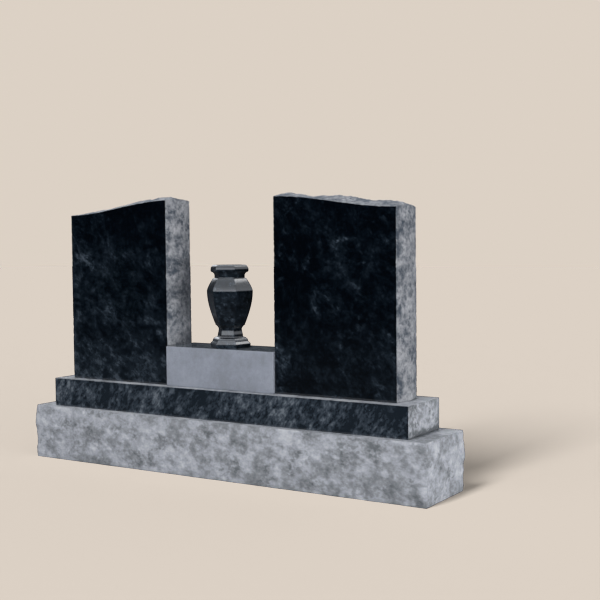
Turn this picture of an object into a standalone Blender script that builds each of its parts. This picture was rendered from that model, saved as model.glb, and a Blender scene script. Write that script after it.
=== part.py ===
"""Companion headstone of dark granite, modelled as its separate stones.

Two wing tablets with polished faces and rock-pitched tops and sides stand on a polished sub-base, and
the sub-base lies on a rock-pitched base. A plain block fills the foot of the space between the tablets
and carries a loose hexagonal vase with a drilled bore.

Metres, +Z up. The origin is the middle of the base's underside, and the polished fronts face -Y.
"""

import math

import bmesh
import bpy
from mathutils import Vector, noise

# Joints between the stones
BED_JOINT = 0.0003
BLOCK_SIDE_JOINT = 0.0025

# Base, measured between its pitch lines
BASE_LENGTH = 1.820
BASE_DEPTH = 0.302
BASE_HEIGHT = 0.219
BASE_PITCH = 0.008
BASE_FOOT_SHARE = 0.45

# Sub-base, with polished front and back and pitched ends
SUB_BASE_LENGTH = 1.662
SUB_BASE_DEPTH = 0.244
SUB_BASE_HEIGHT = 0.115
SUB_BASE_PITCH = 0.006

# Tablets: the height of the polished face at its outer and inner edge
TABLET_WIDTH = 0.508
TABLET_THICKNESS = 0.153
TABLET_OUTER_HEIGHT = 0.683
TABLET_INNER_HEIGHT = 0.733
TABLET_OUTER_PITCH = 0.011
TABLET_INNER_PITCH = 0.005

# How far the rock stands above the polished face, at even steps from the outer edge to the inner one
LEFT_CREST = (0.013, 0.019, 0.020, 0.024, 0.020)
RIGHT_CREST = (0.026, 0.026, 0.025, 0.027, 0.029, 0.016, 0.006, 0.013, 0.022)

# How much of the rock is taken off the tablets' upper corners
OUTER_CORNER = 0.5
INNER_CORNER = 0.3

# Block between the tablets
BLOCK_WIDTH = 0.508
BLOCK_DEPTH = 0.176
BLOCK_HEIGHT = 0.156
BLOCK_ARRIS = 0.0015
DRESSED_STRIP = 0.030

# Rock-pitched surfaces: the spacing of the points that shape them, the width of their lumps and spalls,
# and how strongly each shows around a mean level
ROCK_STEP = 0.026
LUMP_WIDTH = 0.075
SPALL_WIDTH = 0.033
ROCK_MEAN = 0.62
LUMP_SHARE = 0.9
SPALL_SHARE = 0.45
LEAST_SWELL = 0.45

# How flat pitched surfaces are in their middle: over a height, along a sub-base end, and across a tablet
UPRIGHT_CROWN = 2.5
END_CROWN = 4.0
TABLET_CROWN = 2.2

# Vase: radii reach to the corners of its hexagon, and its members follow from the foot up
VASE_SIDES = 6
VASE_TURN = math.radians(22)
VASE_SHIFT = -0.003
FOOT_RADIUS = 0.0800
FOOT_HEIGHT = 0.0155
FOOT_SLOPE_HEIGHT = 0.0090
RING_RADIUS = 0.0705
RING_HEIGHT = 0.0160
RING_TOP_RADIUS = 0.0520
FILLET_HEIGHT = 0.0030
STEM_RADIUS = 0.0500
STEM_HEIGHT = 0.0290
WAIST_RADIUS = 0.0455
COVE_RADIUS = 0.0575
COVE_HEIGHT = 0.0160
COVE_CURVE = 1.6
COLLAR_RADIUS = 0.0592
COLLAR_HEIGHT = 0.0070
BODY_FOOT_RADIUS = 0.0610
BELLY_RADIUS = 0.0912
BODY_HEIGHT = 0.1245
SHOULDER_HEIGHT = 0.0480
SHOULDER_TOP_RADIUS = 0.0665
SHOULDER_CURVE = 1.4
NECK_STEP_HEIGHT = 0.0015
NECK_RADIUS = 0.0598
NECK_HEIGHT = 0.0105
LIP_COVE_RADIUS = 0.0680
LIP_COVE_HEIGHT = 0.0135
LIP_COVE_CURVE = 2.2
LIP_RADIUS = 0.0755
LIP_UNDER_HEIGHT = 0.0070
LIP_ROLL_HEIGHT = 0.0210
LIP_TOP_RADIUS = 0.0630
BORE_RADIUS = 0.0375
BORE_DEPTH = 0.200
BORE_SIDES = 32

# Levels and faces that several stones share
SUB_BASE_BED = BASE_HEIGHT + BED_JOINT
SUB_BASE_TOP = SUB_BASE_BED + SUB_BASE_HEIGHT
TABLET_BED = SUB_BASE_TOP + BED_JOINT
BLOCK_TOP = TABLET_BED + BLOCK_HEIGHT
VASE_BED = BLOCK_TOP + BED_JOINT
TABLET_INNER_X = BLOCK_WIDTH / 2 + BLOCK_SIDE_JOINT
TABLET_OUTER_X = TABLET_INNER_X + TABLET_WIDTH


def clear_scene():
    for obj in list(bpy.data.objects):
        bpy.data.objects.remove(obj, do_unlink=True)


def new_collection(name):
    collection = bpy.data.collections.new(name)
    bpy.context.scene.collection.children.link(collection)
    return collection


def new_material(name, colour, roughness):
    material = bpy.data.materials.new(name)
    material.use_nodes = True
    shader = material.node_tree.nodes["Principled BSDF"]
    shader.inputs["Base Color"].default_value = (*colour, 1.0)
    shader.inputs["Roughness"].default_value = roughness
    shader.inputs["Metallic"].default_value = 0.0
    return material


def new_object(name, mesh, collection, material):
    obj = bpy.data.objects.new(name, mesh)
    obj.data.materials.append(material)
    collection.objects.link(obj)
    return obj


def crown(share, power):
    """0 at both ends of a span and 1 in its middle; a higher power makes the middle flatter."""
    return 1 - abs(2 * share - 1) ** power


def between(values, share):
    """Smooth run through values at even steps, at a share of the whole from 0 to 1."""
    place = min(max(share, 0.0), 1.0) * (len(values) - 1)
    first = min(int(place), len(values) - 2)
    blend = (1 - math.cos(math.pi * (place - first))) / 2
    return values[first] + (values[first + 1] - values[first]) * blend


def rock(point, seed):
    """Roughness of a pitched surface: 0 in a deep hollow, 1 on a high lump."""
    shift = Vector((seed * 3.1, seed * 5.7, seed * 1.9))
    lumps = noise.noise(point / LUMP_WIDTH + shift)
    spalls = noise.noise(point / SPALL_WIDTH - shift)
    return min(max(ROCK_MEAN + LUMP_SHARE * lumps + SPALL_SHARE * spalls, 0.0), 1.0)


def even_shares(length, step=ROCK_STEP):
    """Shares from 0 up to, not including, 1, about one step of the length apart."""
    count = max(1, round(length / step))
    return [index / count for index in range(count)]


def loft(name, rings, collection, material):
    """A closed stone through rings of equally many points, capped flat at both ends."""
    bm = bmesh.new()
    loops = [[bm.verts.new(point) for point in ring] for ring in rings]
    for lower, upper in zip(loops, loops[1:]):
        for index in range(len(lower)):
            after = (index + 1) % len(lower)
            bm.faces.new((lower[index], lower[after], upper[after], upper[index]))
    bm.faces.new(loops[0])
    bm.faces.new(loops[-1])
    bmesh.ops.recalc_face_normals(bm, faces=bm.faces)
    bmesh.ops.dissolve_limit(bm, angle_limit=math.radians(0.02), verts=bm.verts, edges=bm.edges)
    mesh = bpy.data.meshes.new(name)
    bm.to_mesh(mesh)
    bm.free()
    return new_object(name, mesh, collection, material)


def rectangle_sides(length, depth):
    """The sides of a rectangle, counterclockwise from above, as start, run, outward normal and length."""
    half_length, half_depth = length / 2, depth / 2
    return (
        ((-half_length, -half_depth), (1, 0), (0, -1), length),
        ((half_length, -half_depth), (0, 1), (1, 0), depth),
        ((half_length, half_depth), (-1, 0), (0, 1), length),
        ((-half_length, half_depth), (0, -1), (-1, 0), depth),
    )


def base_profile(level):
    """Share of the pitch depth over the height: some at the foot, most in the middle, none at the top."""
    foot = BASE_FOOT_SHARE * (1 - level) ** 2
    return min(1.0, foot + crown(level, UPRIGHT_CROWN))


def make_base(collection, material):
    """Base with all four sides pitched, so that its upright corners are rock as well."""
    levels = even_shares(BASE_HEIGHT) + [1.0]
    sides = rectangle_sides(BASE_LENGTH, BASE_DEPTH)
    rings = []
    for level in levels:
        ring = []
        for number, (start, run, normal, length) in enumerate(sides):
            corner_normal = sides[number - 1][2]
            for share in even_shares(length):
                point = Vector((start[0] + run[0] * length * share, start[1] + run[1] * length * share, 0.0))
                point.z = BASE_HEIGHT * level
                depth = BASE_PITCH * base_profile(level) * rock(point, 1)
                push = Vector((*normal, 0.0))
                if share == 0:
                    push += Vector((*corner_normal, 0.0))
                ring.append(point + push * depth)
        rings.append(ring)
    return loft("base", rings, collection, material)


def make_sub_base(collection, material):
    """Sub-base whose front and back stay flat and whose ends are pitched inside straight arrises."""
    levels = even_shares(SUB_BASE_HEIGHT) + [1.0]
    rings = []
    for level in levels:
        ring = []
        for start, run, normal, length in rectangle_sides(SUB_BASE_LENGTH, SUB_BASE_DEPTH):
            is_end = normal[0] != 0
            for share in even_shares(length) if is_end else [0.0]:
                point = Vector((start[0] + run[0] * length * share, start[1] + run[1] * length * share, 0.0))
                point.z = SUB_BASE_BED + SUB_BASE_HEIGHT * level
                depth = 0.0
                if is_end:
                    swell = crown(share, END_CROWN) * crown(level, UPRIGHT_CROWN)
                    depth = SUB_BASE_PITCH * swell * rock(point, 2)
                ring.append(point + Vector((*normal, 0.0)) * depth)
        rings.append(ring)
    return loft("sub_base", rings, collection, material)


def face_height(share):
    """Height of a polished face from its outer edge, share 0, to its inner edge, share 1: one S-curve."""
    rise = share * share * (3 - 2 * share)
    return TABLET_OUTER_HEIGHT + (TABLET_INNER_HEIGHT - TABLET_OUTER_HEIGHT) * rise


def inner_pitch(height):
    """Pitch depth of a tablet's inner side: none beside the block, where it is dressed flat."""
    clear = (height - BLOCK_HEIGHT - DRESSED_STRIP / 2) / DRESSED_STRIP
    return TABLET_INNER_PITCH * min(max(clear, 0.0), 1.0)


def tablet_outline(crest):
    """Points round a tablet from its outer foot over the top to its inner foot: place along the width from
    the outer edge, height, and how far rock may push the point sideways and up."""
    points = []
    for share in even_shares(TABLET_OUTER_HEIGHT):
        points.append((0.0, TABLET_OUTER_HEIGHT * share, -TABLET_OUTER_PITCH, 0.0))
    for share in even_shares(TABLET_WIDTH):
        at_corner = OUTER_CORNER if share == 0 else 0.0
        up = between(crest, share) * (1 - at_corner)
        points.append((TABLET_WIDTH * share, face_height(share), -TABLET_OUTER_PITCH * at_corner, up))
    up = crest[-1] * (1 - INNER_CORNER)
    points.append((TABLET_WIDTH, TABLET_INNER_HEIGHT, TABLET_INNER_PITCH * INNER_CORNER, up))
    for share in even_shares(TABLET_INNER_HEIGHT)[1:] + [1.0]:
        height = TABLET_INNER_HEIGHT * (1 - share)
        points.append((TABLET_WIDTH, height, inner_pitch(height), 0.0))
    return points


def make_tablet(name, side, crest, seed, collection, material):
    """Tablet whose sides and top are pitched between the straight arrises of its front and back."""
    rings = []
    for depth_share in even_shares(TABLET_THICKNESS) + [1.0]:
        y = TABLET_THICKNESS * (depth_share - 0.5)
        ring = []
        for across, height, sideways, up in tablet_outline(crest):
            point = Vector((side * (TABLET_OUTER_X - across), y, TABLET_BED + height))
            swell = LEAST_SWELL + (1 - LEAST_SWELL) * rock(point, seed)
            swell *= crown(depth_share, TABLET_CROWN)
            ring.append(point + Vector((-side * sideways, 0.0, up)) * swell)
        rings.append(ring)
    return loft(name, rings, collection, material)


def make_block(collection, material):
    """Plain block, with a small arris on every edge."""
    mesh = bpy.data.meshes.new("vase_block")
    bm = bmesh.new()
    bmesh.ops.create_cube(bm, size=1.0)
    bmesh.ops.scale(bm, vec=(BLOCK_WIDTH, BLOCK_DEPTH, BLOCK_HEIGHT), verts=bm.verts)
    bm.to_mesh(mesh)
    bm.free()
    obj = new_object("vase_block", mesh, collection, material)
    obj.location.z = TABLET_BED + BLOCK_HEIGHT / 2
    bevel = obj.modifiers.new("arris", "BEVEL")
    bevel.width = BLOCK_ARRIS
    bevel.segments = 1
    return obj


def curve(start, end, low, height, steps, bend):
    """Points that run from one radius to another over a height, where bend gives the share of the change in
    radius and of the height at each even step. The end point is left out."""
    points = []
    for step in range(steps):
        across, up = bend(step / steps)
        points.append((start + (end - start) * across, low + height * up))
    return points


def round_out(share):
    """Quarter of an ellipse that starts flat and turns upright."""
    return math.sin(math.pi / 2 * share), 1 - math.cos(math.pi / 2 * share)


def round_in(share):
    """Quarter of an ellipse that starts upright and turns flat."""
    return 1 - math.cos(math.pi / 2 * share), math.sin(math.pi / 2 * share)


def vase_profile():
    """Radius and height of the vase's outline from the middle of its top down to the middle of its foot."""
    profile = [(0.0, 0.0), (FOOT_RADIUS, 0.0), (FOOT_RADIUS, FOOT_HEIGHT)]
    level = FOOT_HEIGHT + FOOT_SLOPE_HEIGHT
    profile += curve(RING_RADIUS, RING_TOP_RADIUS, level, RING_HEIGHT, 4, round_in)
    level += RING_HEIGHT
    profile += [(RING_TOP_RADIUS, level), (RING_TOP_RADIUS, level + FILLET_HEIGHT)]
    level += FILLET_HEIGHT
    profile += curve(
        STEM_RADIUS, WAIST_RADIUS, level, STEM_HEIGHT, 4,
        lambda share: ((1 - math.cos(math.pi * share)) / 2, share),
    )
    level += STEM_HEIGHT
    profile += curve(
        WAIST_RADIUS, COVE_RADIUS, level, COVE_HEIGHT, 4, lambda share: (share**COVE_CURVE, share)
    )
    level += COVE_HEIGHT
    profile += [(COVE_RADIUS, level), (COLLAR_RADIUS, level), (COLLAR_RADIUS, level + COLLAR_HEIGHT)]
    level += COLLAR_HEIGHT
    profile += curve(
        BODY_FOOT_RADIUS, BELLY_RADIUS, level, BODY_HEIGHT, 10,
        lambda share: (math.sin(math.pi / 2 * share), share),
    )
    level += BODY_HEIGHT
    profile += curve(
        BELLY_RADIUS, SHOULDER_TOP_RADIUS, level, SHOULDER_HEIGHT, 5,
        lambda share: (share**SHOULDER_CURVE, share),
    )
    level += SHOULDER_HEIGHT
    profile.append((SHOULDER_TOP_RADIUS, level))
    level += NECK_STEP_HEIGHT
    profile.append((NECK_RADIUS, level))
    level += NECK_HEIGHT
    profile += curve(
        NECK_RADIUS, LIP_COVE_RADIUS, level, LIP_COVE_HEIGHT, 4,
        lambda share: (share**LIP_COVE_CURVE, share),
    )
    level += LIP_COVE_HEIGHT
    profile += curve(LIP_COVE_RADIUS, LIP_RADIUS, level, LIP_UNDER_HEIGHT, 4, round_out)
    level += LIP_UNDER_HEIGHT
    profile += curve(LIP_RADIUS, LIP_TOP_RADIUS, level, LIP_ROLL_HEIGHT, 4, round_in)
    level += LIP_ROLL_HEIGHT
    profile += [(LIP_TOP_RADIUS, level), (0.0, level)]
    return profile[::-1]


def make_vase(collection, cutters, material):
    """Hexagonal vase turned a little on the block, with a round bore drilled down from its lip."""
    profile = vase_profile()
    top = profile[0][1]
    mesh = bpy.data.meshes.new("vase")
    edges = [(index, index + 1) for index in range(len(profile) - 1)]
    mesh.from_pydata([(radius, 0.0, height) for radius, height in profile], edges, [])
    vase = new_object("vase", mesh, collection, material)
    vase.location = (VASE_SHIFT, 0.0, VASE_BED)
    vase.rotation_euler.z = VASE_TURN
    screw = vase.modifiers.new("six sides", "SCREW")
    screw.axis = "Z"
    screw.angle = 2 * math.pi
    screw.steps = VASE_SIDES
    screw.render_steps = VASE_SIDES
    screw.use_merge_vertices = True
    screw.merge_threshold = 0.00001
    screw.use_smooth_shade = False

    drill_mesh = bpy.data.meshes.new("vase_drill")
    bm = bmesh.new()
    bmesh.ops.create_cone(
        bm, cap_ends=True, segments=BORE_SIDES, radius1=BORE_RADIUS, radius2=BORE_RADIUS, depth=2 * BORE_DEPTH
    )
    bm.to_mesh(drill_mesh)
    bm.free()
    drill = new_object("vase_drill", drill_mesh, cutters, material)
    drill.location = (VASE_SHIFT, 0.0, VASE_BED + top)
    drill.hide_render = True
    drill.display_type = "WIRE"
    bore = vase.modifiers.new("bore", "BOOLEAN")
    bore.operation = "DIFFERENCE"
    bore.object = drill
    bore.solver = "EXACT"
    return vase


def main():
    clear_scene()
    stones = new_collection("headstone")
    cutters = new_collection("cutters")
    pitched = new_material("pitched_granite", (0.27, 0.28, 0.31), 0.85)
    polished = new_material("polished_granite", (0.010, 0.014, 0.020), 0.12)
    sub_base_granite = new_material("sub_base_granite", (0.030, 0.038, 0.048), 0.18)
    honed = new_material("honed_granite", (0.22, 0.235, 0.27), 0.6)
    vase_granite = new_material("vase_granite", (0.012, 0.016, 0.022), 0.15)

    make_base(stones, pitched)
    make_sub_base(stones, sub_base_granite)
    make_tablet("tablet_left", -1, LEFT_CREST, 3, stones, polished)
    make_tablet("tablet_right", 1, RIGHT_CREST, 4, stones, polished)
    make_block(stones, honed)
    make_vase(stones, cutters, vase_granite)


main()
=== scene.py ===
import math

import bmesh
import bpy
from mathutils import Matrix, Vector, noise


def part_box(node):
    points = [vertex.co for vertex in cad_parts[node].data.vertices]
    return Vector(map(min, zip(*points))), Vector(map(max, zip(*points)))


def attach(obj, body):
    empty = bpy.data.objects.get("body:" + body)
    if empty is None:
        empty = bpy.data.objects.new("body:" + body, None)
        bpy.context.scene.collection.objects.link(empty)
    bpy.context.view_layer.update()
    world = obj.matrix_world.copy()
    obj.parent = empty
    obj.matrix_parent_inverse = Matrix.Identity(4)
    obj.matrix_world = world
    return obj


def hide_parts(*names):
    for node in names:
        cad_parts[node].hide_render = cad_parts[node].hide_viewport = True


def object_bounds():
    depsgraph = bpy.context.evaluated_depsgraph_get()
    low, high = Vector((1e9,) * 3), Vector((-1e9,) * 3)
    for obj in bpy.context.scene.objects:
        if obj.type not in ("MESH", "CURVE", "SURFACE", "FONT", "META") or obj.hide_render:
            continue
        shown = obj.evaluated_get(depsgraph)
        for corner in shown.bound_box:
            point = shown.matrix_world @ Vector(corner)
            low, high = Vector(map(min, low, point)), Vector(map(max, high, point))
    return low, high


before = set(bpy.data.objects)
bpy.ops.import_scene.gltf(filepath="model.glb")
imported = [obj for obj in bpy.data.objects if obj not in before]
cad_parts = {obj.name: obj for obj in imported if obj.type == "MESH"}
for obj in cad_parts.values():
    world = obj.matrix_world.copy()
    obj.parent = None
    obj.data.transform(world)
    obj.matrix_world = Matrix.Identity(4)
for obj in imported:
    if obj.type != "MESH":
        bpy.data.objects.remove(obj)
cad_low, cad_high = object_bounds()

# Companion headstone of dark granite, in metres: two wing tablets, the block and vase between them, the
# sub-base and the base. Each stone is a fine mesh in the place of its solid. The fronts face -Y.

# Sizes between the pitch lines, and how far the rock stands out from them
BASE_PITCH = 0.008
BASE_FOOT_SHARE = 0.45
SUB_BASE_LENGTH = 1.662
SUB_BASE_PITCH = 0.006
SUB_BASE_UNDERCUT, SUB_BASE_UNDERCUT_SHARE = 0.007, 0.17
UNDERCUT_FRONT_SHARE = 0.4
UNDERCUT_ONSET = 3
TABLET_WIDTH = 0.508
TABLET_OUTER_HEIGHT = 0.683
TABLET_INNER_HEIGHT = 0.733
TABLET_OUTER_PITCH = 0.011
TABLET_INNER_PITCH = 0.005
BLOCK_SIDE_JOINT = 0.0025
DRESSED_STRIP = 0.030

# How far the rock stands above the polished face, at even steps from the outer edge to the inner one
LEFT_CREST = (0.013, 0.019, 0.020, 0.024, 0.020)
RIGHT_CREST = (0.026, 0.026, 0.025, 0.027, 0.029, 0.016, 0.006, 0.013, 0.022)

# How much of the rock is taken off at the upright and upper corners, and how far that reaches along edges
OUTER_CORNER = 0.5
INNER_CORNER = 0.3
CORNER_REACH = 0.026

# Rock relief: the widths of its lumps, spalls, flakes, chips and grit, and how strongly each shows
LUMP_WIDTH, LUMP_SHARE = 0.075, 0.9
SPALL_WIDTH, SPALL_SHARE = 0.033, 0.45
FLAKE_WIDTH, FLAKE_SHARE = 0.040, 0.75
FLAKE_MEAN = 0.45
CHIP_WIDTH, CHIP_SHARE = 0.012, 0.28
GRIT_WIDTH, GRIT_SHARE = 0.005, 0.10
ROCK_MEAN = 0.62
ROCK_HARDNESS = 1.7
ROCK_SEED_STEPS = (3.1, 5.7, 1.9)
LEAST_SWELL = 0.45

# How flat pitched surfaces are in their middle, and the ridge that wanders along a tablet's sides and top
UPRIGHT_CROWN = 2.5
END_CROWN = 4.0
TABLET_CROWN = 2.2
RIDGE_SHARE = 0.45
RIDGE_WANDER = 0.16
RIDGE_WIDTH = 0.11

# Small chips along the lines where rock meets a dressed face
ARRIS_CHIP = 0.0022
ARRIS_CHIP_WIDTH = 0.011
ARRIS_CHIP_SEED = 7.3
FINE_CHIP_SHARE, FINE_CHIP_FINENESS, FINE_CHIP_SEED = 0.4, 3, 1.3

# Spacing of mesh points on pitched surfaces, and the turn above which an edge is crisp
BASE_STEP = 0.0045
SUB_BASE_STEP = 0.0030
TABLET_STEP = 0.0035
SHARP_TURN = math.radians(38)

# Block, and the share of a unit normal above which a face counts as square to an axis
BLOCK_ARRIS = 0.0015
BLOCK_ARRIS_STEPS = 3
SQUARE_ON = 0.999

# Vase: radii reach to the corners of its hexagon, and its members follow from the foot up
VASE_SIDES = 6
VASE_TURN = math.radians(22)
VASE_SHIFT = -0.003
FOOT_RADIUS, FOOT_HEIGHT, FOOT_SLOPE_HEIGHT = 0.0800, 0.0155, 0.0090
RING_RADIUS, RING_HEIGHT, RING_TOP_RADIUS, FILLET_HEIGHT = 0.0705, 0.0160, 0.0520, 0.0030
STEM_RADIUS, STEM_HEIGHT, WAIST_RADIUS = 0.0500, 0.0290, 0.0455
COVE_RADIUS, COVE_HEIGHT, COVE_CURVE = 0.0575, 0.0160, 1.6
COLLAR_RADIUS, COLLAR_HEIGHT = 0.0592, 0.0070
BODY_FOOT_RADIUS, BODY_HEIGHT, BELLY_RADIUS = 0.0610, 0.1245, 0.0912
SHOULDER_HEIGHT, SHOULDER_TOP_RADIUS, SHOULDER_CURVE = 0.0480, 0.0665, 1.4
NECK_STEP_HEIGHT, NECK_RADIUS, NECK_HEIGHT = 0.0015, 0.0598, 0.0105
LIP_COVE_RADIUS, LIP_COVE_HEIGHT, LIP_COVE_CURVE = 0.0680, 0.0135, 2.2
LIP_RADIUS, LIP_UNDER_HEIGHT, LIP_ROLL_HEIGHT, LIP_TOP_RADIUS = 0.0755, 0.0070, 0.0210, 0.0630
BORE_RADIUS, BORE_DEPTH, BORE_CHAMFER = 0.0375, 0.200, 0.0012
VASE_ARRIS = 0.0012
ARRIS_STEPS = 3
VASE_EASE = 0.0008
FLAT_POINTS = 8
SAME_POINT = 1e-9

# Levels read from the parts in model.glb
BASE_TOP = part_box("base")[1][2]
SUB_BASE_BED, SUB_BASE_TOP = (corner[2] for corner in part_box("sub_base"))
TABLET_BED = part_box("tablet_left")[0][2]
TABLET_THICKNESS = 2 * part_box("tablet_left")[1][1]
TABLET_OUTER_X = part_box("vase_block")[1][0] + BLOCK_SIDE_JOINT + TABLET_WIDTH
VASE_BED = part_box("vase")[0][2]

# Camera, as measured from the photograph's corners
CAMERA_PLACE = Vector((2.48313, -3.39794, 0.89536))
CAMERA_YAW = math.radians(32.469)
CAMERA_PITCH = math.radians(-3.0395)
CAMERA_ROLL = math.radians(-0.5727)
CAMERA_LENS = 64.76
SENSOR_WIDTH = 36.0

# Studio: the backdrop, the even light on the stones, and what is reflected from behind as a share of what is
# reflected from the front, with the directions along y between which it falls to that share
BACKDROP = (0.716, 0.638, 0.558, 1.0)
EVEN_LIGHT = (0.134, 0.146, 0.168, 1.0)
BEHIND_SHARE = 0.45
BEHIND_FROM, BEHIND_TO = -0.2, 0.3

# Floor
FLOOR_REACH = 30.0
FLOOR_DROP = 0.0005
FLOOR_COLOUR = (0.55, 0.55, 0.57, 1.0)
FLOOR_ROUGHNESS = 0.9

# What polished stone reflects, by height: 0 straight down, 0.5 level and 1 straight up
REFLECTED_BANDS = (
    (0.00, (0.10, 0.10, 0.10)),
    (0.42, (0.08, 0.09, 0.10)),
    (0.47, (0.010, 0.014, 0.018)),
    (0.545, (0.007, 0.011, 0.016)),
    (0.565, (0.100, 0.115, 0.130)),
    (0.590, (3.90, 4.07, 4.35)),
    (0.660, (4.30, 4.48, 4.76)),
    (0.740, (3.20, 3.30, 3.50)),
    (0.850, (1.90, 2.00, 2.14)),
    (0.920, (1.80, 1.89, 2.02)),
    (0.980, (4.90, 5.10, 5.40)),
)

# Granite patterns: how far they are drawn out from front to back, and the scales of their finer parts. A
# scale is about the number of features in a metre. A rise gives the values of the noise over which a part
# comes in.
DEPTH_STRETCH = 1.2
SWIRL_SCALE = 9.0
CLUMP_SCALE, CLUMP_RISE = 14.0, (-0.01, 0.13)
SPECK_SCALE, SPECK_RISE = 68.0, (-0.06, 0.12)
ARC_SCALE, ARC_RISE = 6.0, (0.035, 0.0)
ARC_BREAK_SCALE, ARC_BREAK_RISE = 40.0, (-0.04, 0.12)
CLOUD_EDGE_SCALE, CLOUD_RAGGEDNESS = 32.0, 3.0
CLOUD_RISE = (1.1, 0.1)
CLOUD_DEPTH = 1000.0
CRYSTAL_SCALE, CRYSTAL_RELIEF = 290.0, 0.35
GRAIN_RELIEF_SCALE, GRAIN_RELIEF_DETAIL, GRAIN_RELIEF_ROUGHNESS = 210.0, 4.0, 0.65
BUMP_STRENGTH = 0.6

# The places of the mix node's two colours among its inputs, and of the mixed colour among its outputs
MIX_FIRST, MIX_SECOND, MIX_RESULT = 6, 7, 2


def crown(share, power):
    """0 at both ends of a span and 1 in its middle; a higher power makes the middle flatter."""
    return 1 - abs(2 * share - 1) ** power


def between(values, share):
    """Smooth run through values at even steps, at a share of the whole from 0 to 1."""
    place = min(max(share, 0.0), 1.0) * (len(values) - 1)
    first = min(int(place), len(values) - 2)
    blend = (1 - math.cos(math.pi * (place - first))) / 2
    return values[first] + (values[first + 1] - values[first]) * blend


def even_shares(length, step):
    """Shares from 0 up to, not including, 1, about one step of the length apart."""
    count = max(1, round(length / step))
    return [index / count for index in range(count)]


def near(distance):
    """1 at a corner, falling to 0 at the reach of the corner's shaping."""
    return max(0.0, 1 - distance / CORNER_REACH)


def rock(point, seed):
    """Roughness of a pitched surface: 0 in a deep hollow, 1 on a high lump."""
    shift = Vector([seed * step for step in ROCK_SEED_STEPS])
    value = ROCK_MEAN
    value += LUMP_SHARE * noise.noise(point / LUMP_WIDTH + shift)
    value += SPALL_SHARE * noise.noise(point / SPALL_WIDTH - shift)
    value += FLAKE_SHARE * (noise.voronoi(point / FLAKE_WIDTH + shift)[0][0] - FLAKE_MEAN)
    value += CHIP_SHARE * noise.noise(point / CHIP_WIDTH + shift)
    value = 0.5 + 0.5 * math.tanh(ROCK_HARDNESS * (value - 0.5))
    grit = 0.5 + 0.5 * noise.noise(point / GRIT_WIDTH - shift)
    return value * (1 - GRIT_SHARE) + GRIT_SHARE * grit


def arris_chip(point, seed):
    """How far a chip bites into a dressed face at a point of its edge."""
    bite = noise.noise(point / ARRIS_CHIP_WIDTH + Vector((seed, ARRIS_CHIP_SEED, seed)))
    fine = noise.noise(point * FINE_CHIP_FINENESS / ARRIS_CHIP_WIDTH + Vector((seed, FINE_CHIP_SEED, seed)))
    return ARRIS_CHIP * max(0.0, bite + FINE_CHIP_SHARE * fine)


def loft(rings, strip_finish, cap_finishes):
    """A closed stone through rings of equally many points with flat caps. strip_finish gives the number of
    the material on the face that starts at a ring and a point, cap_finishes those on the two caps."""
    bm = bmesh.new()
    loops = [[bm.verts.new(point) for point in ring] for ring in rings]
    count = len(loops[0])
    for level, (lower, upper) in enumerate(zip(loops, loops[1:])):
        for index in range(count):
            after = (index + 1) % count
            face = bm.faces.new((lower[index], lower[after], upper[after], upper[index]))
            face.material_index = strip_finish(level, index)
    for loop, finish in zip((loops[0], loops[-1]), cap_finishes):
        bm.faces.new(loop).material_index = finish
    return bm


def add_piece(name, bm, node, materials):
    """A piece of the finished mesh, crisp where it turns sharply or changes finish, in a node's place."""
    bmesh.ops.recalc_face_normals(bm, faces=bm.faces)
    for face in bm.faces:
        face.smooth = True
    for edge in bm.edges:
        first, second = edge.link_faces
        if first.material_index != second.material_index or edge.calc_face_angle(0.0) > SHARP_TURN:
            edge.smooth = False
    mesh = bpy.data.meshes.new(name)
    bm.to_mesh(mesh)
    bm.free()
    for material in materials:
        mesh.materials.append(material)
    piece = bpy.data.objects.new(name, mesh)
    bpy.context.scene.collection.objects.link(piece)
    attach(piece, "root")
    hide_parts(node)
    return piece


def rectangle_sides(length, depth):
    """The sides of a rectangle, counterclockwise from above, as start, run, outward normal and length."""
    half_length, half_depth = length / 2, depth / 2
    return (
        ((-half_length, -half_depth), (1, 0), (0, -1), length),
        ((half_length, -half_depth), (0, 1), (1, 0), depth),
        ((half_length, half_depth), (-1, 0), (0, 1), length),
        ((-half_length, half_depth), (0, -1), (-1, 0), depth),
    )


def base_profile(level):
    """Share of the pitch depth over the height: some at the foot, most in the middle, none at the top."""
    foot = BASE_FOOT_SHARE * (1 - level) ** 2
    return min(1.0, foot + crown(level, UPRIGHT_CROWN))


def make_base(materials):
    """Base with all four sides pitched."""
    length = 2 * (cad_high[0] - BASE_PITCH)
    depth = 2 * (cad_high[1] - BASE_PITCH)
    sides = rectangle_sides(length, depth)
    rings = []
    for level in even_shares(BASE_TOP, BASE_STEP) + [1.0]:
        ring = []
        for number, (start, run, normal, side_length) in enumerate(sides):
            before, after = Vector((*sides[number - 1][2], 0)), Vector((*sides[(number + 1) % 4][2], 0))
            for share in even_shares(side_length, BASE_STEP):
                along = side_length * share
                point = Vector((start[0] + run[0] * along, start[1] + run[1] * along, BASE_TOP * level))
                push = Vector((*normal, 0)) + before * near(along) + after * near(side_length - along)
                swell = BASE_PITCH * base_profile(level) * rock(point, 1)
                if level == 1.0:
                    swell = -arris_chip(point, 1)
                ring.append(point + push * swell)
        rings.append(ring)
    bm = loft(rings, lambda level, index: 0, (1, 1))
    return add_piece("base_stone", bm, "base", materials)


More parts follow.
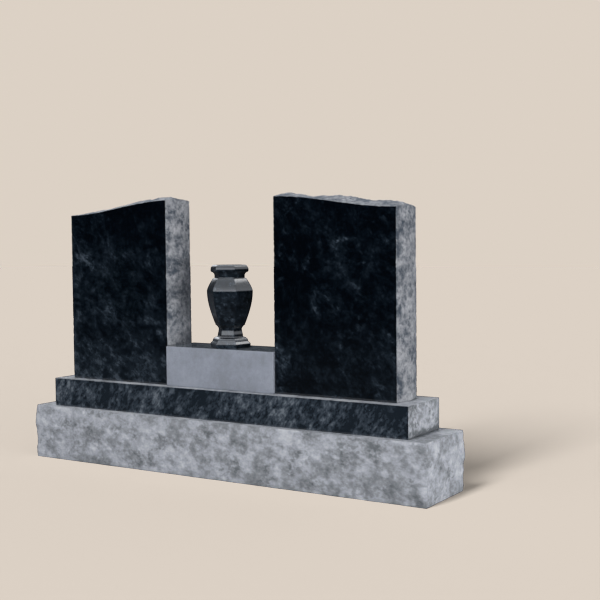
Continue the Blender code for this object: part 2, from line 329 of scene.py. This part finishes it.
def make_sub_base(materials):
    """Sub-base whose front and back stay flat. Its ends are pitched inside straight arrises and undercut at
    their foot, more so towards the back."""
    height = SUB_BASE_TOP - SUB_BASE_BED
    depth = 2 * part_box("sub_base")[1][1]
    rings = []
    for level in even_shares(height, SUB_BASE_STEP) + [1.0]:
        ring, finishes = [], []
        for start, run, normal, side_length in rectangle_sides(SUB_BASE_LENGTH, depth):
            is_end = normal[0] != 0
            for share in even_shares(side_length, SUB_BASE_STEP) if is_end else [0.0]:
                along = side_length * share
                point = Vector((start[0] + run[0] * along, start[1] + run[1] * along, 0.0))
                point.z = SUB_BASE_BED + height * level
                swell = 0.0
                if is_end:
                    rise = crown(share, END_CROWN) * crown(level, UPRIGHT_CROWN)
                    swell = SUB_BASE_PITCH * rise * rock(point, 2)
                    backward = share if normal[0] > 0 else 1 - share
                    reach = SUB_BASE_UNDERCUT_SHARE * (UNDERCUT_FRONT_SHARE + backward)
                    bite = max(0.0, 1 - level / reach)
                    swell -= SUB_BASE_UNDERCUT * bite * min(1.0, UNDERCUT_ONSET * backward)
                ring.append(point + Vector((*normal, 0.0)) * swell)
                finishes.append(1 if is_end else 0)
        rings.append(ring)
    bm = loft(rings, lambda level, index: finishes[index], (2, 2))
    return add_piece("sub_base_stone", bm, "sub_base", materials)


def face_height(share):
    """Height of a polished face from its outer edge, share 0, to its inner edge, share 1: one S-curve."""
    rise = share * share * (3 - 2 * share)
    return TABLET_OUTER_HEIGHT + (TABLET_INNER_HEIGHT - TABLET_OUTER_HEIGHT) * rise


def inner_pitch(height):
    """Pitch depth of a tablet's inner side: none beside the block, where it is dressed flat."""
    block_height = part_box("vase_block")[1][2] - TABLET_BED
    clear = (height - block_height - DRESSED_STRIP / 2) / DRESSED_STRIP
    return TABLET_INNER_PITCH * min(max(clear, 0.0), 1.0)


def tablet_outline(crest):
    """Points round a tablet from its outer foot over the top to its inner foot: place along the width from
    the outer edge, height, and how far rock may push the point sideways and up."""
    points = []
    for share in even_shares(TABLET_OUTER_HEIGHT, TABLET_STEP):
        height = TABLET_OUTER_HEIGHT * share
        ease = near(TABLET_OUTER_HEIGHT - height) * (1 - OUTER_CORNER)
        points.append((0.0, height, -TABLET_OUTER_PITCH * (1 - ease), crest[0] * ease))
    for share in even_shares(TABLET_WIDTH, TABLET_STEP) + [1.0]:
        across = TABLET_WIDTH * share
        outer, inner = near(across) * OUTER_CORNER, near(TABLET_WIDTH - across) * INNER_CORNER
        sideways = TABLET_INNER_PITCH * inner - TABLET_OUTER_PITCH * outer
        points.append((across, face_height(share), sideways, between(crest, share) * (1 - outer - inner)))
    for share in even_shares(TABLET_INNER_HEIGHT, TABLET_STEP)[1:] + [1.0]:
        height = TABLET_INNER_HEIGHT * (1 - share)
        ease = near(TABLET_INNER_HEIGHT - height) * (1 - INNER_CORNER)
        points.append((TABLET_WIDTH, height, inner_pitch(height) * (1 - ease), crest[-1] * ease))
    return points


def ridge_swell(share, ridge):
    """Swell across a tablet's thickness, with a ridge at a given share of it."""
    moved = share / ridge / 2 if share < ridge else 1 - (1 - share) / (1 - ridge) / 2
    return (1 - RIDGE_SHARE) * crown(moved, TABLET_CROWN) + RIDGE_SHARE * crown(moved, 1)


def make_tablet(name, node, side, crest, seed, materials):
    """Tablet with polished faces whose sides and top are pitched between the faces' arrises."""
    outline = tablet_outline(crest)
    ridges = []
    for across, height, sideways, up in outline:
        wander = noise.noise(Vector((across, seed, height)) / RIDGE_WIDTH)
        ridges.append(0.5 + RIDGE_WANDER * wander)
    rings = []
    for depth_share in even_shares(TABLET_THICKNESS, TABLET_STEP) + [1.0]:
        y = TABLET_THICKNESS * (depth_share - 0.5)
        at_arris = depth_share in (0.0, 1.0)
        ring = []
        for (across, height, sideways, up), ridge in zip(outline, ridges):
            point = Vector((side * (TABLET_OUTER_X - across), y, TABLET_BED + height))
            if at_arris:
                bite = arris_chip(point, seed) if height > TABLET_STEP else 0.0
                inward = (sideways < 0) - (sideways > 0)
                ring.append(point + Vector((-side * inward, 0.0, -1.0 if up else 0.0)) * bite)
                continue
            swell = LEAST_SWELL + (1 - LEAST_SWELL) * rock(point, seed)
            swell *= ridge_swell(depth_share, ridge)
            point += Vector((-side * sideways, 0.0, up)) * swell
            point.z = min(point.z, cad_high[2])
            ring.append(point)
        rings.append(ring)
    bm = loft(rings, lambda level, index: 1, (0, 0))
    return add_piece(name, bm, node, materials)


def in_order(bm):
    """The same mesh with its points and faces sorted by place, because a bevel can change their order from run
    to run."""
    points = sorted(bm.verts, key=lambda vert: tuple(vert.co))
    numbers = {vert: number for number, vert in enumerate(points)}
    faces = []
    for face in bm.faces:
        corners = [numbers[vert] for vert in face.verts]
        first = corners.index(min(corners))
        faces.append(corners[first:] + corners[:first])
    ordered = bmesh.new()
    verts = [ordered.verts.new(point.co) for point in points]
    for corners in sorted(faces):
        ordered.faces.new([verts[number] for number in corners])
    bm.free()
    return ordered


def make_block(materials):
    """Plain block with rounded arrises, honed sides and a polished top."""
    low, high = (Vector(corner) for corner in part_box("vase_block"))
    bm = bmesh.new()
    bmesh.ops.create_cube(bm, size=1.0)
    bmesh.ops.scale(bm, vec=high - low, verts=bm.verts)
    bmesh.ops.translate(bm, vec=(low + high) / 2, verts=bm.verts)
    bmesh.ops.bevel(
        bm, geom=bm.edges, offset=BLOCK_ARRIS, offset_type="OFFSET", segments=BLOCK_ARRIS_STEPS,
        profile=0.5, affect="EDGES",
    )
    bm.normal_update()
    flats = [face for face in bm.faces if max(map(abs, face.normal)) > SQUARE_ON]
    bmesh.ops.inset_individual(bm, faces=flats, thickness=BLOCK_ARRIS)
    bm = in_order(bm)
    bm.normal_update()
    for face in bm.faces:
        face.material_index = 1 if face.normal.z > SQUARE_ON else 0
    return add_piece("vase_block_stone", bm, "vase_block", materials)


def curve(start, end, low, height, steps, bend):
    """Points that run from one radius to another over a height, where bend gives the share of the change in
    radius and of the height at each even step."""
    points = []
    for step in range(steps + 1):
        across, up = bend(step / steps)
        points.append((start + (end - start) * across, low + height * up))
    return points


def round_out(share):
    """Quarter of an ellipse that starts flat and turns upright."""
    return math.sin(math.pi / 2 * share), 1 - math.cos(math.pi / 2 * share)


def round_in(share):
    """Quarter of an ellipse that starts upright and turns flat."""
    return 1 - math.cos(math.pi / 2 * share), math.sin(math.pi / 2 * share)


def straight(share):
    """Even run of radius and height."""
    return share, share


def bowed(share):
    """Quarter of a sine wave: steep at first and upright at the end."""
    return math.sin(math.pi / 2 * share), share


def waisted(share):
    """Half of a cosine wave: upright at both ends."""
    return (1 - math.cos(math.pi * share)) / 2, share


def hollowed(power):
    """A run that starts upright and flares; a higher power flares later."""
    return lambda share: (share**power, share)


def vase_profile():
    """Radius and height of the vase's outline from its foot up to the edge of its top. Each member has its
    radius at the foot and at the top, the gap below it, its height, its steps and its bend."""
    profile = [(FOOT_RADIUS, 0.0), (FOOT_RADIUS, FOOT_HEIGHT)]
    members = (
        (RING_RADIUS, RING_TOP_RADIUS, FOOT_SLOPE_HEIGHT, RING_HEIGHT, 10, round_in),
        (RING_TOP_RADIUS, RING_TOP_RADIUS, 0.0, FILLET_HEIGHT, 1, straight),
        (STEM_RADIUS, WAIST_RADIUS, 0.0, STEM_HEIGHT, 12, waisted),
        (WAIST_RADIUS, COVE_RADIUS, 0.0, COVE_HEIGHT, 14, hollowed(COVE_CURVE)),
        (COLLAR_RADIUS, COLLAR_RADIUS, 0.0, COLLAR_HEIGHT, 1, straight),
        (BODY_FOOT_RADIUS, BELLY_RADIUS, 0.0, BODY_HEIGHT, 40, bowed),
        (BELLY_RADIUS, SHOULDER_TOP_RADIUS, 0.0, SHOULDER_HEIGHT, 18, hollowed(SHOULDER_CURVE)),
        (NECK_RADIUS, NECK_RADIUS, NECK_STEP_HEIGHT, NECK_HEIGHT, 1, straight),
        (NECK_RADIUS, LIP_COVE_RADIUS, 0.0, LIP_COVE_HEIGHT, 10, hollowed(LIP_COVE_CURVE)),
        (LIP_COVE_RADIUS, LIP_RADIUS, 0.0, LIP_UNDER_HEIGHT, 8, round_out),
        (LIP_RADIUS, LIP_TOP_RADIUS, 0.0, LIP_ROLL_HEIGHT, 12, round_in),
    )
    level = FOOT_HEIGHT
    for start, end, gap, height, steps, bend in members:
        level += gap
        points = curve(start, end, level, height, steps, bend)
        profile += points[1:] if math.dist(points[0], profile[-1]) < SAME_POINT else points
        level += height
    return profile


def eased(profile):
    """The outline with each sharp corner replaced by a small rounding, over a third of a side at most."""
    points = [Vector(point) for point in profile]
    smooth = [points[0]]
    for before, corner, after in zip(points, points[1:], points[2:]):
        back, forth = before - corner, after - corner
        if math.pi - back.angle(forth) < SHARP_TURN:
            smooth.append(corner)
            continue
        start = corner + back.normalized() * min(VASE_EASE, back.length / 3)
        end = corner + forth.normalized() * min(VASE_EASE, forth.length / 3)
        smooth += [start, (start + 2 * corner + end) / 4, end]
    return smooth + [points[-1]]


def hexagon(radius):
    """Points round a hexagon with slightly rounded corners, at a radius to the sharp corners."""
    side = 2 * math.pi / VASE_SIDES
    arcs = []
    for number in range(VASE_SIDES):
        corner = VASE_TURN + number * side
        out = Vector((math.cos(corner), math.sin(corner)))
        centre = out * (radius - VASE_ARRIS / math.cos(side / 2))
        angles = [corner + side * (step / ARRIS_STEPS - 0.5) for step in range(ARRIS_STEPS + 1)]
        arcs.append([centre + VASE_ARRIS * Vector((math.cos(angle), math.sin(angle))) for angle in angles])
    ring = []
    for number, arc in enumerate(arcs):
        start, end = arc[-1], arcs[(number + 1) % VASE_SIDES][0]
        support = VASE_ARRIS / (end - start).length
        inner_shares = [step / (FLAT_POINTS + 1) for step in range(1, FLAT_POINTS + 1)]
        ring += arc + [start.lerp(end, share) for share in [support, *inner_shares, 1 - support]]
    return ring


def make_vase(materials):
    """Hexagonal vase with a round bore."""
    profile = eased(vase_profile())
    top = profile[-1].y
    outlines = [(hexagon(radius), height) for radius, height in profile]
    bore_directions = [point.normalized() for point in hexagon(LIP_TOP_RADIUS)]
    bore = [
        (BORE_RADIUS + BORE_CHAMFER, top),
        (BORE_RADIUS, top - BORE_CHAMFER),
        (BORE_RADIUS, top - BORE_DEPTH),
    ]
    outlines += [([direction * radius for direction in bore_directions], height) for radius, height in bore]
    rings = [
        [Vector((VASE_SHIFT + point.x, point.y, VASE_BED + height)) for point in outline]
        for outline, height in outlines
    ]
    drilled = len(rings) - len(bore)
    bm = loft(rings, lambda level, index: 1 if level >= drilled else 0, (1, 1))
    return add_piece("vase_stone", bm, "vase", materials)


def node(tree, kind, inputs=None, **settings):
    """Adds a shader node; an input is a value or the socket that feeds it."""
    made = tree.nodes.new(kind)
    for key, value in settings.items():
        setattr(made, key, value)
    for key, value in (inputs or {}).items():
        if isinstance(value, bpy.types.NodeSocket):
            tree.links.new(value, made.inputs[key])
        else:
            made.inputs[key].default_value = value
    return made


def calc(tree, operation, *values):
    """One step of arithmetic on values or sockets."""
    return node(tree, "ShaderNodeMath", dict(enumerate(values)), operation=operation).outputs[0]


def ramp(tree, factor, stops):
    """Colour ramp through stops of position and linear colour."""
    made = node(tree, "ShaderNodeValToRGB", {"Fac": factor})
    elements = made.color_ramp.elements
    while len(elements) < len(stops):
        elements.new(0.5)
    for element, (position, colour) in zip(elements, stops):
        element.position = position
        element.color = (*colour, 1.0)
    return made.outputs["Color"]


def field(tree, place, scale, detail=2.0, roughness=0.5):
    """Soft noise around 0 with features of about 1 / scale metres."""
    made = node(tree, "ShaderNodeTexNoise", {
        "Vector": place,
        "Scale": scale,
        "Detail": detail,
        "Roughness": roughness,
    })
    return calc(tree, "SUBTRACT", made.outputs["Fac"], 0.5)


def drawn_out(tree, place, offset, lean, stretch):
    """The place, moved by an offset and drawn out along a direction that leans down to the right."""
    return node(tree, "ShaderNodeMapping", {
        "Vector": place,
        "Location": offset,
        "Rotation": (0.0, lean, 0.0),
        "Scale": (stretch, DEPTH_STRETCH, 1.0),
    }, vector_type="TEXTURE").outputs["Vector"]


def shaded(tones, share):
    """The tones with each colour multiplied by a share."""
    return tuple((position, tuple(share * value for value in colour)) for position, colour in tones)


def spread(tree, value, low, high):
    """0 up to a low value and 1 from a high one on, smooth between. With the low one higher, it falls."""
    return node(
        tree, "ShaderNodeMapRange", {"Value": value, "From Min": low, "From Max": high},
        interpolation_type="SMOOTHSTEP",
    ).outputs[0]


def granite(
    name, tones, offset, lean=0.0, stretch=1.0, swirl=0.0, level=0.5, broad=(3.0, 0.5), clouding=(12.0, 1.5),
    mottles=(50.0, 1.0), grain=(150.0, 0.5), clumps=0.0, arcs=0.0, drift=(0.0, 0.0, 0.0),
    centre=(0.0, 0.0, 0.0), clouds=(), roughness=(0.05, 0.09), specular=0.5, relief=0.0,
):
    """Granite as tones over one value: a level plus broad patches, clouding, mottles and grain, each a scale
    and a gain. Clumps are groups of dark specks, arcs are broken light bands, and drift is a steady change
    from a centre on. Each cloud is a soft light or dark spot: its centre, its reaches along x and z, its
    strength. The roughness runs from the first value to the second, and relief is the depth of the bump."""
    material = bpy.data.materials.new(name)
    material.use_nodes = True
    tree = material.node_tree
    shader = tree.nodes["Principled BSDF"]
    place = node(tree, "ShaderNodeTexCoord").outputs["Object"]
    drawn = drawn_out(tree, place, offset, lean, stretch)
    if swirl:
        warp = node(tree, "ShaderNodeTexNoise", {"Vector": drawn, "Scale": SWIRL_SCALE, "Detail": 1.0})
        swirls = {0: warp.outputs["Color"], 1: (swirl, swirl, swirl), 2: drawn}
        drawn = node(tree, "ShaderNodeVectorMath", swirls, operation="MULTIPLY_ADD").outputs["Vector"]

    value = level
    for (scale, gain), detail in ((broad, 1.0), (clouding, 3.0), (mottles, 2.0), (grain, 1.0)):
        value = calc(tree, "MULTIPLY_ADD", field(tree, drawn, scale, detail), gain, value)
    if clumps:
        group = spread(tree, field(tree, drawn, CLUMP_SCALE, 1.0), *CLUMP_RISE)
        speck = spread(tree, field(tree, drawn, SPECK_SCALE, 1.0), *SPECK_RISE)
        value = calc(tree, "MULTIPLY_ADD", calc(tree, "MULTIPLY", group, speck), -clumps, value)
    if arcs:
        distance = calc(tree, "ABSOLUTE", field(tree, drawn, ARC_SCALE, 1.0))
        band = spread(tree, distance, *ARC_RISE)
        broken = spread(tree, field(tree, place, ARC_BREAK_SCALE, 1.0), *ARC_BREAK_RISE)
        value = calc(tree, "MULTIPLY_ADD", calc(tree, "MULTIPLY", band, broken), arcs, value)
    if any(drift):
        away = node(tree, "ShaderNodeVectorMath", {0: place, 1: centre}, operation="SUBTRACT")
        steady = {0: away.outputs["Vector"], 1: drift}
        rise = node(tree, "ShaderNodeVectorMath", steady, operation="DOT_PRODUCT").outputs["Value"]
        value = calc(tree, "ADD", rise, value)
    for x, z, across, up, strength in clouds:
        away = node(tree, "ShaderNodeMapping", {
            "Vector": place,
            "Location": (x, 0.0, z),
            "Scale": (across, CLOUD_DEPTH, up),
        }, vector_type="TEXTURE").outputs["Vector"]
        distance = node(tree, "ShaderNodeVectorMath", {0: away}, operation="LENGTH").outputs["Value"]
        edge = field(tree, place, CLOUD_EDGE_SCALE, 3.0)
        ragged = calc(tree, "MULTIPLY_ADD", edge, -CLOUD_RAGGEDNESS, distance)
        value = calc(tree, "MULTIPLY_ADD", spread(tree, ragged, *CLOUD_RISE), strength, value)

    tree.links.new(ramp(tree, value, tones), shader.inputs["Base Color"])
    cells = node(tree, "ShaderNodeTexVoronoi", {"Vector": place, "Scale": CRYSTAL_SCALE}).outputs["Color"]
    crystal = node(tree, "ShaderNodeSeparateColor", {"Color": cells}).outputs["Red"]
    least, most = roughness
    rough = calc(tree, "MULTIPLY_ADD", crystal, most - least, least)
    tree.links.new(rough, shader.inputs["Roughness"])
    shader.inputs["Specular IOR Level"].default_value = specular
    if relief:
        grit = field(tree, place, GRAIN_RELIEF_SCALE, GRAIN_RELIEF_DETAIL, GRAIN_RELIEF_ROUGHNESS)
        height = calc(tree, "MULTIPLY_ADD", crystal, CRYSTAL_RELIEF, grit)
        bump = node(tree, "ShaderNodeBump", {
            "Height": height,
            "Strength": BUMP_STRENGTH,
            "Distance": relief,
        }).outputs["Normal"]
        tree.links.new(bump, shader.inputs["Normal"])
    return material


# Tones of the granites: positions from 0 to 1 and linear colours
POLISHED_TONES = (
    (0.00, (0.0004, 0.0009, 0.0018)),
    (0.25, (0.0012, 0.0024, 0.0042)),
    (0.50, (0.0040, 0.0066, 0.0100)),
    (0.75, (0.0130, 0.0186, 0.0255)),
    (1.00, (0.0400, 0.0500, 0.0630)),
)
SUB_BASE_TONES = (
    (0.10, (0.0055, 0.0088, 0.0130)),
    (0.40, (0.0170, 0.0235, 0.0320)),
    (0.65, (0.0400, 0.0500, 0.0630)),
    (0.95, (0.1000, 0.1150, 0.1320)),
)
PITCHED_TONES = (
    (0.00, (0.090, 0.097, 0.104)),
    (0.30, (0.176, 0.184, 0.196)),
    (0.50, (0.260, 0.271, 0.296)),
    (0.72, (0.341, 0.351, 0.374)),
    (1.00, (0.432, 0.440, 0.455)),
)
TABLET_PITCHED_TONES = (
    (0.05, (0.034, 0.043, 0.056)),
    (0.30, (0.084, 0.092, 0.105)),
    (0.50, (0.158, 0.165, 0.179)),
    (0.72, (0.230, 0.235, 0.248)),
    (1.00, (0.314, 0.317, 0.328)),
)
HONED_TONES = (
    (0.15, (0.152, 0.163, 0.186)),
    (0.45, (0.180, 0.194, 0.226)),
    (0.80, (0.212, 0.228, 0.262)),
)

# Soft light and dark spots on the tablets' faces: centre x and z, reaches along x and z, strength
LEFT_CLOUDS = (
    (-0.71, 0.835, 0.075, 0.035, 0.30),
    (-0.50, 1.010, 0.320, 0.150, -0.19),
    (-0.34, 0.588, 0.080, 0.018, 0.24),
    (-0.30, 0.545, 0.060, 0.016, 0.34),
    (-0.33, 0.563, 0.110, 0.014, -0.22),
    (-0.28, 0.500, 0.035, 0.030, -0.20),
)
RIGHT_CLOUDS = (
    (0.522, 0.895, 0.045, 0.030, 0.34),
    (0.290, 0.490, 0.060, 0.035, 0.32),
    (0.280, 0.440, 0.060, 0.050, 0.22),
    (0.690, 0.900, 0.080, 0.060, 0.16),
    (0.620, 0.770, 0.090, 0.070, 0.16),
    (0.700, 0.555, 0.060, 0.060, 0.22),
    (0.360, 0.820, 0.140, 0.110, -0.16),
    (0.360, 0.380, 0.080, 0.050, -0.22),
    (0.500, 0.490, 0.080, 0.045, -0.16),
)
# Painted shade along the lower edge of the sub-base's right end, where it meets the base: centre x and z,
# reaches along x and z, strength
SUB_BASE_END_PAINTED_SHADE = ((0.835, 0.220, 0.080, 0.028, -0.75),)


def make_stones():
    """All six stones with their granites. Each takes its materials in the order of its faces' numbers."""
    lean = math.radians(38)
    rough = {"roughness": (0.62, 0.85), "relief": 0.0012, "specular": 0.3}
    # The upward faces have a steeled finish, rougher and duller; their tones are the pitched ones darkened to
    # 0.85 as painted shade on those tops.
    top = granite(
        "steeled_granite_and_painted_shade", shaded(PITCHED_TONES, 0.85), offset=(0.7, 0.2, 0.4),
        roughness=(0.5, 0.65), specular=0.3, relief=0.0003,
    )
    base_pitched = granite(
        "base_pitched", PITCHED_TONES, offset=(0.3, 0.5, 0.1), lean=math.radians(8), stretch=1.35,
        level=0.455, broad=(3.0, 0.4), clouding=(17.0, 1.30), mottles=(46.0, 0.80), grain=(140.0, 0.4),
        clumps=0.28, arcs=0.14, drift=(-0.04, 0.0, 0.0), **rough,
    )
    make_base([base_pitched, top])

    sub_base_polished = granite(
        "sub_base_polished", SUB_BASE_TONES, offset=(1.3, 0.1, 0.6), lean=math.radians(-55), stretch=1.6,
        level=0.39, broad=(4.0, 1.0), clouding=(18.0, 1.2), mottles=(56.0, 1.7), grain=(150.0, 0.8),
        drift=(-0.22, 0.0, 0.0),
    )
    sub_base_pitched = granite(
        "sub_base_pitched", PITCHED_TONES, offset=(0.2, 0.9, 0.3), lean=lean, stretch=1.2,
        level=0.51, broad=(3.0, 0.5), clouding=(20.0, 1.4), mottles=(54.0, 1.1),
        clumps=0.36, clouds=SUB_BASE_END_PAINTED_SHADE, **rough,
    )
    make_sub_base([sub_base_polished, sub_base_pitched, top])

    # The faces' drift makes them darker towards the top and lighter towards the foot, a painted reflection of
    # the floor over the stone's own pattern; on the left face it also darkens towards the inner edge.
    left_face = {
        "level": 0.41, "drift": (-0.36, 0.0, -0.74), "centre": (-0.51, 0.0, 0.70), "clouds": LEFT_CLOUDS,
    }
    right_face = {
        "level": 0.21, "drift": (0.05, 0.0, -0.26), "centre": (0.51, 0.0, 0.70), "clouds": RIGHT_CLOUDS,
        "arcs": 0.34,
    }
    # The last value scales each tablet's pitched tones: the left one's are lighter as painted light, lifting
    # the shade that the right tablet casts on its inner side.
    tablets = (
        ("tablet_left", -1, LEFT_CREST, 3, (0.15, 0.0, 0.2), left_face, 1.10),
        ("tablet_right", 1, RIGHT_CREST, 4, (0.85, 0.4, 0.7), right_face, 0.98),
    )
    for node_name, side, crest, seed, offset, face, shade in tablets:
        polished = granite(
            node_name + "_polished", POLISHED_TONES, offset, lean=lean, stretch=1.5, swirl=0.04,
            broad=(3.2, 0.5), clouding=(17.0, 1.2), mottles=(52.0, 1.1), grain=(150.0, 0.6), **face,
        )
        # The pitched stone's drift darkens it towards the top and lightens it towards the foot: painted light
        # that lifts the shade low on the sides and dims the top.
        pitched = granite(
            node_name + "_pitched", shaded(TABLET_PITCHED_TONES, shade), offset,
            lean=math.radians(60), stretch=1.1, level=0.54, broad=(3.0, 0.6), clouding=(17.0, 1.3),
            mottles=(58.0, 1.2), clumps=0.34, drift=(0.0, 0.0, -0.28), centre=(0.0, 0.0, 0.68), **rough,
        )
        make_tablet(node_name + "_stone", node_name, side, crest, seed, [polished, pitched])

    block_honed = granite(
        "block_honed", HONED_TONES, offset=(0.4, 0.8, 0.2), level=0.46, broad=(4.0, 1.0),
        clouding=(14.0, 1.1), mottles=(50.0, 0.7), grain=(200.0, 0.5), roughness=(0.5, 0.6), specular=0.3,
    )
    block_polished = granite(
        "block_polished", SUB_BASE_TONES, offset=(0.2, 0.2, 0.9), level=0.94, mottles=(50.0, 1.8),
    )
    make_block([block_honed, block_polished])

    vase_polished = granite(
        "vase_polished", POLISHED_TONES, offset=(0.6, 0.3, 0.3), lean=lean, stretch=1.3, level=0.50,
        broad=(5.0, 0.4), clouding=(26.0, 1.0), mottles=(70.0, 1.2), roughness=(0.12, 0.18),
    )
    vase_drilled = granite("vase_drilled", shaded(PITCHED_TONES, 0.6), offset=(0.1, 0.3, 0.3), **rough)
    make_vase([vase_polished, vase_drilled])


def make_camera():
    """A camera in the place from which the photograph was taken, as measured."""
    data = bpy.data.cameras.new("camera")
    data.lens = CAMERA_LENS
    data.sensor_width = SENSOR_WIDTH
    camera = bpy.data.objects.new("camera", data)
    turn = Matrix.Rotation(CAMERA_YAW, 4, "Z") @ Matrix.Rotation(math.pi / 2 + CAMERA_PITCH, 4, "X")
    camera.matrix_world = Matrix.Translation(CAMERA_PLACE) @ turn @ Matrix.Rotation(CAMERA_ROLL, 4, "Z")
    bpy.context.scene.collection.objects.link(camera)
    bpy.context.scene.camera = camera


def mixed(tree, factor, first, second):
    """The first colour where the factor is 0 and the second where it is 1."""
    inputs = {"Factor": factor, MIX_FIRST: first, MIX_SECOND: second}
    return node(tree, "ShaderNodeMix", inputs, data_type="RGBA").outputs[MIX_RESULT]


def make_world():
    """A pale even backdrop, an even soft light, and a dark lower and bright upper part to reflect."""
    world = bpy.data.worlds.new("studio")
    world.use_nodes = True
    tree = world.node_tree
    tree.nodes.clear()
    direction = node(tree, "ShaderNodeTexCoord").outputs["Generated"]
    upward = node(tree, "ShaderNodeSeparateXYZ", {"Vector": direction}).outputs["Z"]
    height = calc(tree, "MULTIPLY_ADD", upward, 0.5, 0.5)
    bands = ramp(tree, height, REFLECTED_BANDS)
    backward = node(tree, "ShaderNodeSeparateXYZ", {"Vector": direction}).outputs["Y"]
    behind = node(tree, "ShaderNodeMapRange", {
        "Value": backward,
        "From Min": BEHIND_FROM,
        "From Max": BEHIND_TO,
        "To Min": 1.0,
        "To Max": BEHIND_SHARE,
    }).outputs[0]
    dimmed = node(tree, "ShaderNodeVectorMath", {0: bands, "Scale": behind}, operation="SCALE")
    rays = node(tree, "ShaderNodeLightPath").outputs
    lit = mixed(tree, rays["Is Glossy Ray"], EVEN_LIGHT, dimmed.outputs["Vector"])
    seen = mixed(tree, rays["Is Camera Ray"], lit, BACKDROP)
    background = node(tree, "ShaderNodeBackground", {"Color": seen})
    node(tree, "ShaderNodeOutputWorld", {"Surface": background.outputs[0]})
    bpy.context.scene.world = world


def make_light(name, place, target, size, power, lights_stone=True, reflects=False):
    """A rectangular area light with its size as width and height. It lights rough stone, shows in polished
    stone, or both."""
    data = bpy.data.lights.new(name, "AREA")
    data.shape = "RECTANGLE"
    data.size, data.size_y = size
    data.energy = power
    light = bpy.data.objects.new(name, data)
    light.location = place
    light.rotation_euler = (Vector(target) - Vector(place)).to_track_quat("-Z", "Y").to_euler()
    light.visible_diffuse = lights_stone
    light.visible_glossy = reflects
    bpy.context.scene.collection.objects.link(light)


def make_floor():
    """A floor that shows the stones' shadow on the backdrop's colour."""
    mesh = bpy.data.meshes.new("floor")
    bm = bmesh.new()
    bmesh.ops.create_grid(bm, x_segments=1, y_segments=1, size=FLOOR_REACH)
    bm.to_mesh(mesh)
    bm.free()
    material = bpy.data.materials.new("floor")
    material.use_nodes = True
    shader = material.node_tree.nodes["Principled BSDF"]
    shader.inputs["Base Color"].default_value = FLOOR_COLOUR
    shader.inputs["Roughness"].default_value = FLOOR_ROUGHNESS
    mesh.materials.append(material)
    floor = bpy.data.objects.new("floor", mesh)
    floor.location.z = -FLOOR_DROP
    floor.is_shadow_catcher = True
    floor.visible_glossy = False
    bpy.context.scene.collection.objects.link(floor)


make_stones()
make_camera()
make_world()
make_floor()
make_light("key", (0.08, -4.2, 5.1), (0.2, 0.0, 0.3), (1.1, 4.2), power=415)
make_light("side", (6.2, -1.90, 0.34), (0.6, 0.0, 0.36), (3.0, 0.6), power=385)
make_light(
    "rim", (1.9, 2.1, 3.9), (0.0, 0.0, 0.7), (2.2, 2.0), power=80, lights_stone=False, reflects=True,
)
bpy.context.scene.view_settings.view_transform = "Standard"
